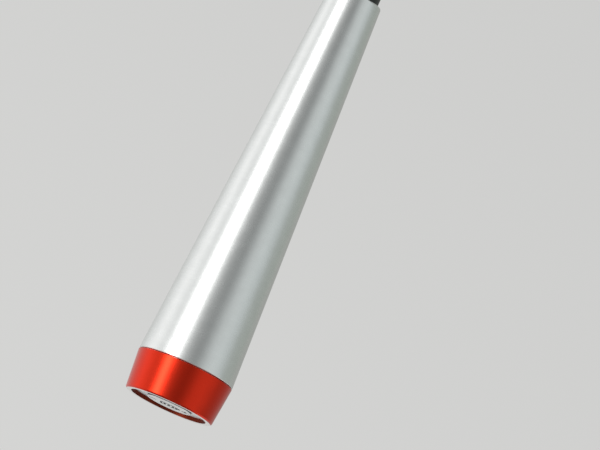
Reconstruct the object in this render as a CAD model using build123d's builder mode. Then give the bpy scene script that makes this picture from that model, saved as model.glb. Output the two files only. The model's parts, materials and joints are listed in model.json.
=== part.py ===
from build123d import *
import os
from math import cos, radians, sin

# A pocket otoscope: a fibre-optic head on a tapered battery handle, in millimetres.
#
# +Z runs up the handle's axis. The origin is the centre of the plane that the end cap's
# rim stands on. The speculum points towards -Y and the magnifier faces +Y, towards the
# user's eye. The line of sight crosses the handle's axis and rises towards the speculum.

# ---------------------------------------------------------------- driving dimensions

# Handle sleeve: a thin cone that narrows upwards.
JOINT_RADIUS = 15.5
SLEEVE_FOOT = 12.7
SLEEVE_TOP = 138.3
SLEEVE_TOP_RADIUS = 8.55
SLEEVE_WALL = 1.1
SLEEVE_TOP_ROUND = 1.2
SLEEVE_FOOT_CHAMFER = 0.25
SLEEVE_SHOULDER = 127.0

# Neck: the foot of the two head shells, held in the sleeve's upper bore.
NECK_RADIUS = 7.25
NECK_BORE = 5.7
NECK_FOOT = 127.55
NECK_FLARE_FOOT = 151.0
NECK_FLARE_TOP = 161.5
NECK_FLARE_RADIUS = 8.6
FIT_GAP = 0.05

# Screwed end cap: a coloured ring pressed on a threaded plug.
CAP_TOP = 12.5
RIM_RADIUS = 14.35
RIM_CHAMFER = 0.45
RIM_BORE = 12.35
RECESS_DEPTH = 1.3
PLUG_TOP = 21.5
PLUG_FLOOR = 8.0
PLUG_BORE = 9.5
SPIGOT_RADIUS = 11.7
THREAD_RADIUS = 12.25
THREAD_PITCH = 1.5
THREAD_TURNS = 4
THREAD_FOOT = 14.9
BUSH_BORE = 12.35
BUSH_FOOT = 12.85
BUSH_TOP = 24.0
SEAL_SECTION = 0.5
CAP_SEAL_Z = 13.6
BADGE_RADIUS = 7.3
BADGE_GAP = 0.1
BADGE_FACE = 0.35
BADGE_POCKET = 0.6

# Two AA cells, end to end.
CELL_RADIUS = 7.1
CELL_LENGTH = 50.5
CELL_FOOT = 22.5
CELL_NUB_RADIUS = 2.7
CELL_NUB_HEIGHT = 1.2
CELL_SKIN = 0.13
TUBE_BORE = 7.4
TUBE_WALL = 0.6
FIN_THICKNESS = 1.0
FIN_COUNT = 4

# Battery spring.
SPRING_WIRE = 0.45
SPRING_RADIUS = 5.0
SPRING_TURNS = 5

# Line of sight.
TILT = 10.0
SIGHT_Z = 168.0

# Head barrel, along the line of sight: negative stations lie towards the eye.
SHELL_WALL = 1.7
SHELL_REAR = -12.5
SHELL_REAR_RADIUS = 13.6
SHELL_WAIST_RADIUS = 12.0
SHELL_FRONT = 13.4
SHELL_FRONT_RADIUS = 8.9
SPIGOT_REAR = -14.3
SPIGOT_REAR_RADIUS = 12.7
SPIGOT_FRONT = 15.5
SPIGOT_FRONT_RADIUS = 7.3
FLANGE_BORE = 6.3
PARTING_GAP = 0.06

# Rear bezel, window seal and magnifier.
BEZEL_RADIUS = 14.0
BEZEL_REAR = -17.0
BEZEL_LIP = 1.55
BEZEL_WINDOW = 11.2
WINDOW_SEAL_RADIUS = 12.5
FRAME_FRONT = -17.3
FRAME_REAR = -21.5
FRAME_RADIUS = 13.6
FRAME_WINDOW = 10.8
LENS_RADIUS = 11.5
LENS_CURVATURE = 81.0
LENS_EDGE = 1.6
LENS_REAR_EDGE = -20.6
PIVOT_HEIGHT = 16.2
EAR_RADIUS = 3.4
EAR_REAR = -20.3
PIVOT_SCREW_RADIUS = 1.0
PIVOT_HEAD_RADIUS = 2.0

# Optics in the nose.
TIP_STATION = 42.3
NOSE_RADIUS = 8.4
NOSE_FRONT = 17.5
COLLAR_RADIUS = 5.2
COLLAR_FRONT = 20.5

# Speculum.
SPECULUM_REAR = 17.9
SPECULUM_TIP = 53.4
SPECULUM_TIP_RADIUS = 2.05
SPECULUM_TIP_BORE = 1.6
SPECULUM_FLANGE_RADIUS = 7.0
SPECULUM_RIBS = 24
SPECULUM_RIB_RADIUS = 0.4

# Insufflation port, on the left of the barrel.
PORT_STATION = -4.0
PORT_BOSS_RADIUS = 3.7
PORT_BOSS_END = 13.2
PORT_RADIUS = 2.0
PORT_END = 20.4
PORT_BORE = 0.9

# Slide switch, on the rear of the neck.
SWITCH_TRAVEL = 3.0
BUTTON_FOOT = 139.0
BUTTON_TOP = 147.2
BUTTON_THICKNESS = 1.55
BUTTON_HALF_ANGLE = 30.0
BUTTON_RIBS = 5
STEM_Z = 143.0
STEM_HEIGHT = 1.6
STEM_HALF_WIDTH = 1.1

# Light source in the neck, from the board upwards.
BOARD_FOOT = 129.6
BOARD_TOP = 147.5
BOARD_HALF_WIDTH = 4.6
BOARD_THICKNESS = 1.0
SINK_FOOT = 148.0
SINK_TOP = 151.5
LED_TOP = 153.0
DOME_RADIUS = 1.2
FERRULE_FOOT = 154.6
FERRULE_TOP = 158.4
BUNDLE_RADIUS = 1.2

# ------------------------------------------------------------------- shared geometry

SIGHT = Vector(0, -cos(radians(TILT)), sin(radians(TILT)))
HEAD = Plane(origin=(0, 0, SIGHT_Z), x_dir=(1, 0, 0), z_dir=SIGHT)
SIGHT_AXIS = Axis(HEAD.origin, HEAD.z_dir)
# In a section of the head, x is the radius and y the station along the line of sight.
HEAD_SECTION = Plane(origin=HEAD.origin, x_dir=HEAD.x_dir, z_dir=HEAD.y_dir * -1)
# The port's plane faces left, with its origin on the line of sight.
PORT_ORIGIN = HEAD.from_local_coords(Vector(0, 0, PORT_STATION))
PORT = Plane(origin=PORT_ORIGIN, x_dir=HEAD.z_dir, z_dir=(-1, 0, 0))
PORT_SECTION = Plane(origin=PORT_ORIGIN, x_dir=HEAD.z_dir, z_dir=HEAD.y_dir * -1)
PORT_AXIS = Axis(PORT_ORIGIN, (-1, 0, 0))
# A section of the handle has the radius as x and the height as y.
HANDLE_SECTION = Plane.XZ

pieces = {}


def sleeve_radius(height):
    """Outer radius of the handle's cone at a height."""
    share = (height - SLEEVE_FOOT) / (SLEEVE_TOP - SLEEVE_FOOT)
    return JOINT_RADIUS + (SLEEVE_TOP_RADIUS - JOINT_RADIUS) * share


def sleeve_bore(height):
    """Inner radius of the handle's cone at a height."""
    return sleeve_radius(height) - SLEEVE_WALL


def head_point(station, height):
    """A point of the YZ plane, from its station on the line of sight and height above it."""
    return HEAD.from_local_coords(Vector(0, height, station))


# ---------------------------------------------------------------------------- handle

with BuildPart() as handle_sleeve:
    with BuildSketch(HANDLE_SECTION):
        with BuildLine():
            Polyline(
                (JOINT_RADIUS, SLEEVE_FOOT),
                (SLEEVE_TOP_RADIUS, SLEEVE_TOP),
                (NECK_RADIUS + FIT_GAP, SLEEVE_TOP),
                (NECK_RADIUS + FIT_GAP, SLEEVE_SHOULDER),
                (sleeve_bore(SLEEVE_SHOULDER), SLEEVE_SHOULDER),
                (sleeve_bore(SLEEVE_FOOT), SLEEVE_FOOT),
                close=True,
            )
        make_face()
    revolve(axis=Axis.Z)
    rims = handle_sleeve.edges().filter_by(GeomType.CIRCLE).group_by(Axis.Z)
    fillet(rims[-1].sort_by(SortBy.RADIUS)[-1], SLEEVE_TOP_ROUND)
    rims = handle_sleeve.edges().filter_by(GeomType.CIRCLE).group_by(Axis.Z)
    chamfer(rims[0].sort_by(SortBy.RADIUS)[-1], SLEEVE_FOOT_CHAMFER)
pieces["handle_sleeve"] = handle_sleeve

with BuildPart() as thread_bush:
    with BuildSketch(HANDLE_SECTION):
        with BuildLine():
            Polyline(
                (BUSH_BORE, BUSH_FOOT),
                (sleeve_bore(BUSH_FOOT) - FIT_GAP, BUSH_FOOT),
                (sleeve_bore(BUSH_TOP) - FIT_GAP, BUSH_TOP),
                (BUSH_BORE, BUSH_TOP),
                close=True,
            )
        make_face()
    revolve(axis=Axis.Z)
    chamfer(thread_bush.edges().group_by(Axis.Z)[0].sort_by(SortBy.RADIUS)[0], 0.3)
pieces["thread_bush"] = thread_bush

TUBE_RADIUS = TUBE_BORE + TUBE_WALL
TUBE_FOOT = BUSH_TOP + FIT_GAP
CARRIER_FOOT = CELL_FOOT + 2 * CELL_LENGTH + 0.8
TUBE_TOP = CARRIER_FOOT - 0.1
FIN_FOOT = TUBE_FOOT + 1.0
FIN_TOP = TUBE_TOP - 3.0
FIN_CLEARANCE = 0.12

# The moulded tube that centres the cells: its fins and foot flange fill the cone.
with BuildPart() as battery_tube:
    with BuildSketch(HANDLE_SECTION):
        with BuildLine():
            Polyline(
                (0, FIN_FOOT - 0.5),
                (sleeve_bore(FIN_FOOT) - FIN_CLEARANCE - 0.1, FIN_FOOT - 0.5),
                (sleeve_bore(FIN_TOP) - FIN_CLEARANCE - 0.1, FIN_TOP),
                (0, FIN_TOP),
                close=True,
            )
        make_face()
    revolve(axis=Axis.Z)
    with BuildSketch(Plane.XY.offset(FIN_FOOT - 0.5)):
        for turn in range(FIN_COUNT // 2):
            Rectangle(3 * JOINT_RADIUS, FIN_THICKNESS, rotation=turn * 360 / FIN_COUNT)
    extrude(amount=FIN_TOP - FIN_FOOT + 0.5, mode=Mode.INTERSECT)
    with BuildSketch(Plane.XY.offset(TUBE_FOOT)):
        Circle(TUBE_RADIUS)
    extrude(amount=TUBE_TOP - TUBE_FOOT)
    with BuildSketch(HANDLE_SECTION):
        with BuildLine():
            Polyline(
                (TUBE_BORE, TUBE_FOOT),
                (sleeve_bore(TUBE_FOOT) - FIN_CLEARANCE, TUBE_FOOT),
                (sleeve_bore(FIN_FOOT) - FIN_CLEARANCE, FIN_FOOT),
                (TUBE_BORE, FIN_FOOT),
                close=True,
            )
        make_face()
    revolve(axis=Axis.Z)
    with BuildSketch(Plane.XY.offset(TUBE_FOOT)):
        Circle(TUBE_BORE)
    extrude(amount=TUBE_TOP - TUBE_FOOT, mode=Mode.SUBTRACT)
pieces["battery_tube"] = battery_tube

CAN_LENGTH = CELL_LENGTH - CELL_NUB_HEIGHT

for cell_name, foot in (("lower", CELL_FOOT), ("upper", CELL_FOOT + CELL_LENGTH)):
    with BuildPart() as cell_can:
        with BuildSketch(Plane.XY.offset(foot)):
            Circle(CELL_RADIUS - CELL_SKIN)
        extrude(amount=CAN_LENGTH)
        fillet(cell_can.edges().filter_by(GeomType.CIRCLE), 0.6)
        with BuildSketch(Plane.XY.offset(foot + CAN_LENGTH)):
            Circle(CELL_NUB_RADIUS)
        extrude(amount=CELL_NUB_HEIGHT - 0.02)
        fillet(cell_can.edges().filter_by(GeomType.CIRCLE).sort_by(Axis.Z)[-1], 0.3)
    pieces[f"{cell_name}_cell_can"] = cell_can

    with BuildPart() as cell_jacket:
        with BuildSketch(Plane.XY.offset(foot + 0.7)):
            Circle(CELL_RADIUS)
            Circle(CELL_RADIUS - CELL_SKIN + 0.01, mode=Mode.SUBTRACT)
        extrude(amount=CAN_LENGTH - 1.4)
    pieces[f"{cell_name}_cell_jacket"] = cell_jacket

CARRIER_RADIUS = 7.9
CARRIER_TOP = SLEEVE_SHOULDER - FIT_GAP
STUD_RADIUS = 1.0
STUD_HEAD_RADIUS = 2.6

with BuildPart() as contact_carrier:
    with BuildSketch(Plane.XY.offset(CARRIER_FOOT)):
        Circle(CARRIER_RADIUS)
        Circle(STUD_RADIUS + FIT_GAP, mode=Mode.SUBTRACT)
    extrude(amount=CARRIER_TOP - CARRIER_FOOT)
    chamfer(contact_carrier.edges().group_by(Axis.Z)[0].sort_by(SortBy.RADIUS)[-1], 0.3)
pieces["contact_carrier"] = contact_carrier

with BuildPart() as positive_contact:
    with BuildSketch(Plane.XY.offset(CARRIER_FOOT - 0.8 + 0.02)):
        Circle(STUD_HEAD_RADIUS)
    extrude(amount=0.75)
    with BuildSketch(Plane.XY.offset(CARRIER_FOOT - 0.1)):
        Circle(STUD_RADIUS)
    extrude(amount=BOARD_FOOT - FIT_GAP - CARRIER_FOOT + 0.1)
    fillet(positive_contact.edges().sort_by(Axis.Z)[0], 0.4)
pieces["positive_contact"] = positive_contact

GROUND_FOOT = SLEEVE_SHOULDER + FIT_GAP
GROUND_THICKNESS = 0.4

# Brass ring that bears on the sleeve, with a tab up to the board's edge.
with BuildPart() as ground_ring:
    with BuildSketch(Plane.XY.offset(GROUND_FOOT)):
        Circle(NECK_RADIUS)
        Circle(4.7, mode=Mode.SUBTRACT)
    extrude(amount=GROUND_THICKNESS)
    with BuildSketch(Plane.XY.offset(GROUND_FOOT)):
        with Locations((BOARD_HALF_WIDTH + 0.3, 0)):
            Rectangle(0.4, 2.4)
    extrude(amount=6.0)
pieces["ground_ring"] = ground_ring

# --------------------------------------------------------------------------- end cap

with BuildPart() as end_cap_ring:
    with BuildSketch(HANDLE_SECTION):
        with BuildLine():
            Polyline(
                (RIM_BORE, 0),
                (RIM_RADIUS - RIM_CHAMFER, 0),
                (RIM_RADIUS, RIM_CHAMFER),
                (JOINT_RADIUS, CAP_TOP),
                (RIM_BORE, CAP_TOP),
                close=True,
            )
        make_face()
    revolve(axis=Axis.Z)
    rims = end_cap_ring.edges().filter_by(GeomType.CIRCLE).group_by(Axis.Z)
    chamfer(rims[-1].sort_by(SortBy.RADIUS)[-1], 0.12)
pieces["end_cap_ring"] = end_cap_ring

PLUG_RADIUS = RIM_BORE - 0.03
GROOVE_RADIUS = 11.28
GROOVE_HALF_HEIGHT = 0.56

with BuildPart() as end_cap_plug:
    with BuildSketch(HANDLE_SECTION):
        with BuildLine():
            Polyline(
                (0, RECESS_DEPTH),
                (PLUG_RADIUS, RECESS_DEPTH),
                (PLUG_RADIUS, CAP_TOP),
                (SPIGOT_RADIUS, CAP_TOP),
                (SPIGOT_RADIUS, PLUG_TOP),
                (PLUG_BORE, PLUG_TOP),
                (PLUG_BORE, PLUG_FLOOR),
                (0, PLUG_FLOOR),
                close=True,
            )
        make_face()
    revolve(axis=Axis.Z)
    tops = end_cap_plug.edges().filter_by(GeomType.CIRCLE).group_by(Axis.Z)[-1]
    chamfer(tops, 0.4)
    with BuildSketch(Plane.XY.offset(RECESS_DEPTH)):
        Circle(BADGE_RADIUS + BADGE_GAP)
    extrude(amount=BADGE_POCKET, mode=Mode.SUBTRACT)
    with BuildSketch(Plane.XY.offset(CAP_SEAL_Z - GROOVE_HALF_HEIGHT)):
        Circle(SPIGOT_RADIUS + 1)
        Circle(GROOVE_RADIUS, mode=Mode.SUBTRACT)
    extrude(amount=2 * GROOVE_HALF_HEIGHT, mode=Mode.SUBTRACT)
    with BuildLine() as thread_path:
        Helix(THREAD_PITCH, THREAD_PITCH * THREAD_TURNS, SPIGOT_RADIUS, (0, 0, THREAD_FOOT))
    with BuildSketch(
        Plane(origin=thread_path.line @ 0, x_dir=(1, 0, 0), z_dir=thread_path.line % 0)
    ):
        with BuildLine():
            Polyline(
                (-0.15, -0.55),
                (THREAD_RADIUS - SPIGOT_RADIUS, -0.18),
                (THREAD_RADIUS - SPIGOT_RADIUS, 0.18),
                (-0.15, 0.55),
                close=True,
            )
        make_face()
    sweep(path=thread_path.line, is_frenet=True)
pieces["end_cap_plug"] = end_cap_plug

MARK_DEPTH = 0.15
MARK_STROKE = 0.75
MARK_LENGTH = 5.8
MARK_WIDTH = 4.8
BAR_WIDTH = 0.8
BAR_LENGTH = 2.4
BAR_PITCH = 1.4
SIGN_LENGTH = 2.4
SIGN_X = 5.4
BADGE_THICKNESS = RECESS_DEPTH + BADGE_POCKET - 0.02 - BADGE_FACE

# The badge stands proud of the end disc. Its engraving is a battery with three bars in it,
# between a plus and a minus sign, and reads upright with the speculum pointing right.
with BuildPart() as end_cap_badge:
    with BuildSketch(Plane.XY.offset(BADGE_FACE)):
        Circle(BADGE_RADIUS)
    extrude(amount=BADGE_THICKNESS)
    chamfer(end_cap_badge.edges().group_by(Axis.Z)[0], 0.15)
    with BuildSketch(Plane(origin=(0, 0, BADGE_FACE), x_dir=(0, -1, 0), z_dir=(0, 0, -1))):
        RectangleRounded(MARK_LENGTH, MARK_WIDTH, 0.6)
        RectangleRounded(
            MARK_LENGTH - 2 * MARK_STROKE,
            MARK_WIDTH - 2 * MARK_STROKE,
            0.25,
            mode=Mode.SUBTRACT,
        )
        with Locations(((MARK_LENGTH + MARK_STROKE) / 2, 0)):
            Rectangle(MARK_STROKE, MARK_WIDTH * 0.45)
        with Locations(*((BAR_PITCH * side, 0) for side in (-1, 0, 1))):
            Rectangle(BAR_WIDTH, BAR_LENGTH)
        with Locations((SIGN_X, 0)):
            Rectangle(SIGN_LENGTH, MARK_STROKE)
            Rectangle(MARK_STROKE, SIGN_LENGTH)
        with Locations((-SIGN_X, 0)):
            Rectangle(SIGN_LENGTH, MARK_STROKE)
    extrude(amount=-MARK_DEPTH, mode=Mode.SUBTRACT)
pieces["end_cap_badge"] = end_cap_badge

with BuildPart() as end_cap_seal:
    with BuildSketch(HANDLE_SECTION):
        with Locations((GROOVE_RADIUS + SEAL_SECTION + 0.02, CAP_SEAL_Z)):
            Circle(SEAL_SECTION)
    revolve(axis=Axis.Z)
pieces["end_cap_seal"] = end_cap_seal

SEAT_THICKNESS = 0.5

with BuildPart() as spring_seat:
    with BuildSketch(Plane.XY.offset(PLUG_FLOOR + 0.02)):
        Circle(PLUG_BORE - 0.5)
        Circle(2.0, mode=Mode.SUBTRACT)
    extrude(amount=SEAT_THICKNESS)
pieces["spring_seat"] = spring_seat

SPRING_FOOT = PLUG_FLOOR + SEAT_THICKNESS + 0.04 + SPRING_WIRE
SPRING_HEIGHT = CELL_FOOT - 0.06 - SPRING_WIRE - SPRING_FOOT

with BuildPart() as battery_spring:
    with BuildLine() as spring_path:
        Helix(SPRING_HEIGHT / SPRING_TURNS, SPRING_HEIGHT, SPRING_RADIUS, (0, 0, SPRING_FOOT))
    with BuildSketch(
        Plane(origin=spring_path.line @ 0, x_dir=(1, 0, 0), z_dir=spring_path.line % 0)
    ):
        Circle(SPRING_WIRE)
    sweep(path=spring_path.line, is_frenet=True)
pieces["battery_spring"] = battery_spring

# ----------------------------------------------------------------------- head shells

SLOT_HALF_WIDTH = STEM_HALF_WIDTH + 0.25
SLOT_FOOT = STEM_Z - STEM_HEIGHT / 2 - 0.2
SLOT_HEIGHT = STEM_HEIGHT + SWITCH_TRAVEL + 0.4
PORT_TUBE_RADIUS = 1.5

# Both shells as one body: it is split on the handle's centre plane below.
with BuildPart() as head_body:
    with BuildSketch(HEAD_SECTION):
        with BuildLine():
            Polyline(
                (SHELL_FRONT_RADIUS, SHELL_FRONT),
                (SPIGOT_FRONT_RADIUS, SHELL_FRONT),
                (SPIGOT_FRONT_RADIUS, SPIGOT_FRONT),
                (0, SPIGOT_FRONT),
                (0, SPIGOT_REAR),
                (SPIGOT_REAR_RADIUS, SPIGOT_REAR),
                (SPIGOT_REAR_RADIUS, SHELL_REAR),
                (SHELL_REAR_RADIUS, SHELL_REAR),
            )
            ThreePointArc(
                (SHELL_REAR_RADIUS, SHELL_REAR),
                (SHELL_WAIST_RADIUS, 0),
                (SHELL_FRONT_RADIUS, SHELL_FRONT),
            )
        make_face()
    revolve(axis=SIGHT_AXIS)
    barrel_edges = head_body.edges()
    with BuildSketch(HANDLE_SECTION):
        with BuildLine():
            Polyline(
                (NECK_RADIUS, NECK_FLARE_FOOT),
                (NECK_RADIUS, NECK_FOOT),
                (0, NECK_FOOT),
                (0, NECK_FLARE_TOP),
                (NECK_FLARE_RADIUS, NECK_FLARE_TOP),
            )
            TangentArc(
                (NECK_RADIUS, NECK_FLARE_FOOT),
                (NECK_FLARE_RADIUS, NECK_FLARE_TOP),
                tangent=(0, 1),
            )
        make_face()
    revolve(axis=Axis.Z)
    seams = head_body.edges() - barrel_edges
    seams = [e for e in seams if e.geom_type not in (GeomType.CIRCLE, GeomType.LINE)]
    fillet(seams, 2.2)
    with BuildSketch(PORT.offset(PORT_BOSS_RADIUS * 2)):
        Circle(PORT_BOSS_RADIUS)
    extrude(amount=PORT_BOSS_END - PORT_BOSS_RADIUS * 2)
    # The hollow of the barrel, then of the neck.
    with BuildSketch(HEAD_SECTION):
        with BuildLine():
            Polyline(
                (SHELL_FRONT_RADIUS - SHELL_WALL - 0.2, SHELL_FRONT - 1.0),
                (FLANGE_BORE, SHELL_FRONT + 0.4),
                (FLANGE_BORE, SPIGOT_FRONT),
                (0, SPIGOT_FRONT),
                (0, SPIGOT_REAR),
                (SHELL_REAR_RADIUS - SHELL_WALL - 0.2, SPIGOT_REAR),
                (SHELL_REAR_RADIUS - SHELL_WALL - 0.2, SHELL_REAR),
            )
            ThreePointArc(
                (SHELL_REAR_RADIUS - SHELL_WALL - 0.2, SHELL_REAR),
                (SHELL_WAIST_RADIUS - SHELL_WALL, 0),
                (SHELL_FRONT_RADIUS - SHELL_WALL - 0.2, SHELL_FRONT - 1.0),
            )
        make_face()
    revolve(axis=SIGHT_AXIS, mode=Mode.SUBTRACT)
    with BuildSketch(Plane.XY.offset(NECK_FOOT)):
        Circle(NECK_BORE)
    extrude(amount=NECK_FLARE_TOP - 1.5 - NECK_FOOT, mode=Mode.SUBTRACT)
    # The switch's slot, at the rear of the neck, and the port's hole.
    with BuildSketch(Plane.XY.offset(SLOT_FOOT)):
        with Locations((0, NECK_RADIUS)):
            Rectangle(2 * SLOT_HALF_WIDTH, 2 * NECK_RADIUS - 2 * STEM_HEIGHT)
    extrude(amount=SLOT_HEIGHT, mode=Mode.SUBTRACT)
    with BuildSketch(PORT):
        Circle(PORT_TUBE_RADIUS + FIT_GAP)
    extrude(amount=PORT_BOSS_END + 1, mode=Mode.SUBTRACT)

with BuildPart() as head_shell_left:
    add(head_body.part)
    split(bisect_by=Plane.YZ.offset(-PARTING_GAP / 2), keep=Keep.BOTTOM)
pieces["head_shell_left"] = head_shell_left

with BuildPart() as head_shell_right:
    add(head_body.part)
    split(bisect_by=Plane.YZ.offset(PARTING_GAP / 2), keep=Keep.TOP)
pieces["head_shell_right"] = head_shell_right

# ------------------------------------------------------------ bezel, seal and port

SCREW_END = -14.2

with BuildPart() as rear_bezel:
    with BuildSketch(HEAD.offset(BEZEL_REAR)):
        Circle(BEZEL_RADIUS)
        with Locations((0, PIVOT_HEIGHT)):
            Circle(EAR_RADIUS)
        with Locations((0, PIVOT_HEIGHT - EAR_RADIUS)):
            Rectangle(2 * EAR_RADIUS, 2 * EAR_RADIUS)
    extrude(amount=SHELL_REAR - BEZEL_REAR)
    chamfer(rear_bezel.edges().group_by(SIGHT_AXIS)[0], 0.3)
    with BuildSketch(HEAD.offset(BEZEL_REAR)):
        Circle(BEZEL_WINDOW)
    extrude(amount=SHELL_REAR - BEZEL_REAR, mode=Mode.SUBTRACT)
    with BuildSketch(HEAD.offset(BEZEL_REAR + BEZEL_LIP)):
        Circle(SPIGOT_REAR_RADIUS + FIT_GAP)
    extrude(amount=SHELL_REAR - BEZEL_REAR - BEZEL_LIP, mode=Mode.SUBTRACT)
    with BuildSketch(HEAD.offset(BEZEL_REAR)):
        Circle(WINDOW_SEAL_RADIUS + SEAL_SECTION)
        Circle(WINDOW_SEAL_RADIUS - SEAL_SECTION, mode=Mode.SUBTRACT)
    extrude(amount=0.85, mode=Mode.SUBTRACT)
    with BuildSketch(HEAD.offset(BEZEL_REAR)):
        with Locations((0, PIVOT_HEIGHT)):
            Circle(PIVOT_SCREW_RADIUS + 0.03)
    extrude(amount=SCREW_END - BEZEL_REAR + 0.3, mode=Mode.SUBTRACT)
pieces["rear_bezel"] = rear_bezel

with BuildPart() as window_seal:
    with BuildSketch(HEAD_SECTION):
        with Locations((WINDOW_SEAL_RADIUS, BEZEL_REAR + 0.33)):
            Circle(SEAL_SECTION - 0.02)
    revolve(axis=SIGHT_AXIS)
pieces["window_seal"] = window_seal

with BuildPart() as insufflation_port:
    with BuildSketch(PORT_SECTION):
        with BuildLine():
            Polyline(
                (PORT_BORE, 7.3),
                (PORT_TUBE_RADIUS, 7.3),
                (PORT_TUBE_RADIUS, PORT_BOSS_END + 0.55),
                (3.2, PORT_BOSS_END + 0.55),
                (3.2, PORT_BOSS_END + 1.5),
                (PORT_RADIUS, PORT_BOSS_END + 1.5),
                (PORT_RADIUS, PORT_END),
                (PORT_BORE, PORT_END),
                close=True,
            )
        make_face()
    revolve(axis=PORT_AXIS)
    tip = insufflation_port.edges().filter_by(GeomType.CIRCLE).group_by(Axis.X)[0]
    chamfer(tip.sort_by(SortBy.RADIUS)[-1], 0.5)
    flange = insufflation_port.edges().filter_by(GeomType.CIRCLE).filter_by(
        lambda e: abs(e.radius - 3.2) < 0.01
    )
    fillet(flange.sort_by(Axis.X)[0], 0.3)
pieces["insufflation_port"] = insufflation_port

with BuildPart() as port_seal:
    with BuildSketch(PORT.offset(PORT_BOSS_END + 0.02)):
        Circle(3.0)
        Circle(PORT_TUBE_RADIUS + 0.05, mode=Mode.SUBTRACT)
    extrude(amount=0.5)
pieces["port_seal"] = port_seal

# ------------------------------------------------------------------ optics and nose

with BuildPart() as nose_ring:
    with BuildSketch(HEAD_SECTION):
        with BuildLine():
            Polyline(
                (SPIGOT_FRONT_RADIUS + FIT_GAP, SHELL_FRONT + 0.1),
                (SHELL_FRONT_RADIUS, SHELL_FRONT + 0.1),
                (NOSE_RADIUS, NOSE_FRONT),
                (COLLAR_RADIUS + 0.1, NOSE_FRONT),
                (COLLAR_RADIUS + 0.1, SPIGOT_FRONT + 0.1),
                (SPIGOT_FRONT_RADIUS + FIT_GAP, SPIGOT_FRONT + 0.1),
                close=True,
            )
        make_face()
    revolve(axis=SIGHT_AXIS)
    front_edges = nose_ring.edges().filter_by(GeomType.CIRCLE).group_by(SIGHT_AXIS)[-1]
    fillet(front_edges.sort_by(SortBy.RADIUS)[-1], 0.8)
pieces["nose_ring"] = nose_ring

# A funnel from the window, running on as the inner wall of the light guide.
with BuildPart() as sight_tube:
    with BuildSketch(HEAD_SECTION):
        with BuildLine():
            Polyline(
                (10.8, -15.4),
                (12.6, -15.4),
                (12.6, -14.4),
                (11.3, -14.4),
                (7.0, -3.0),
                (3.4, 13.0),
                (3.0, 15.0),
                (1.45, TIP_STATION + 0.1),
                (1.1, TIP_STATION + 0.1),
                (2.5, 13.0),
                (6.2, -3.0),
                (10.5, -14.4),
                close=True,
            )
        make_face()
    revolve(axis=SIGHT_AXIS)
    with BuildSketch(PORT):
        Circle(PORT_TUBE_RADIUS + FIT_GAP)
    extrude(amount=PORT_BOSS_END, mode=Mode.SUBTRACT)
pieces["sight_tube"] = sight_tube

with BuildPart() as light_cone:
    with BuildSketch(HEAD_SECTION):
        with BuildLine():
            Polyline(
                (3.95, 14.0),
                (FLANGE_BORE - 0.1, 14.0),
                (FLANGE_BORE - 0.1, SPIGOT_FRONT - FIT_GAP),
                (COLLAR_RADIUS, SPIGOT_FRONT - FIT_GAP),
                (COLLAR_RADIUS, COLLAR_FRONT),
                (4.6, COLLAR_FRONT + 0.3),
                (2.2, TIP_STATION),
                (1.92, TIP_STATION),
                (3.9, SPIGOT_FRONT - FIT_GAP),
                close=True,
            )
        make_face()
    revolve(axis=SIGHT_AXIS)
pieces["light_cone"] = light_cone

with BuildPart() as fibre_ring:
    with BuildSketch(HEAD_SECTION):
        with BuildLine():
            Polyline(
                (3.95, 11.0),
                (6.0, 11.0),
                (6.0, 12.4),
                (3.85, 13.9),
                (3.8, SPIGOT_FRONT - FIT_GAP),
                (1.87, TIP_STATION),
                (1.5, TIP_STATION),
                (3.05, 15.0),
                (3.46, 13.0),
                close=True,
            )
        make_face()
    revolve(axis=SIGHT_AXIS)
pieces["fibre_ring"] = fibre_ring

BUNDLE_END = head_point(10.3, -5.3)

with BuildPart() as fibre_bundle:
    with BuildLine(Plane.YZ) as bundle_path:
        FilletPolyline(
            (0, FERRULE_FOOT + 0.1),
            (0, FERRULE_TOP + 0.3),
            (BUNDLE_END.Y, BUNDLE_END.Z),
            radius=3.0,
        )
    with BuildSketch(Plane.XY.offset(FERRULE_FOOT + 0.1)):
        Circle(BUNDLE_RADIUS)
    sweep(path=bundle_path.line)
pieces["fibre_bundle"] = fibre_bundle

with BuildPart() as fibre_ferrule:
    with BuildSketch(Plane.XY.offset(FERRULE_FOOT)):
        Circle(2.2)
        Circle(BUNDLE_RADIUS + FIT_GAP, mode=Mode.SUBTRACT)
    extrude(amount=2.6)
    with BuildSketch(Plane.XY.offset(FERRULE_FOOT)):
        Circle(5.5)
        Circle(2.1, mode=Mode.SUBTRACT)
    extrude(amount=0.8)
pieces["fibre_ferrule"] = fibre_ferrule

# ---------------------------------------------------------------------- light source

LEAD_X = 2.6
LEAD_RADIUS = 0.3

with BuildPart() as led_heat_sink:
    with BuildSketch(Plane.XY.offset(SINK_FOOT)):
        Circle(5.5)
        with Locations((-LEAD_X, 0), (LEAD_X, 0)):
            Circle(0.6, mode=Mode.SUBTRACT)
    extrude(amount=SINK_TOP - SINK_FOOT)
pieces["led_heat_sink"] = led_heat_sink

with BuildPart() as led_board:
    with BuildSketch(Plane.XY.offset(SINK_TOP + 0.02)):
        Circle(4.5)
    extrude(amount=0.78)
pieces["led_board"] = led_board

with BuildPart() as led_emitter:
    with BuildSketch(Plane.XY.offset(SINK_TOP + 0.82)):
        Rectangle(3.0, 3.0)
    extrude(amount=LED_TOP - SINK_TOP - 0.82)
pieces["led_emitter"] = led_emitter

with BuildPart() as led_dome:
    with BuildSketch(HANDLE_SECTION):
        with BuildLine():
            CenterArc((0, LED_TOP + 0.02), DOME_RADIUS, 0, 90)
            Polyline((0, LED_TOP + 0.02 + DOME_RADIUS), (0, LED_TOP + 0.02), (DOME_RADIUS, LED_TOP + 0.02))
        make_face()
    revolve(axis=Axis.Z)
pieces["led_dome"] = led_dome

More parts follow.
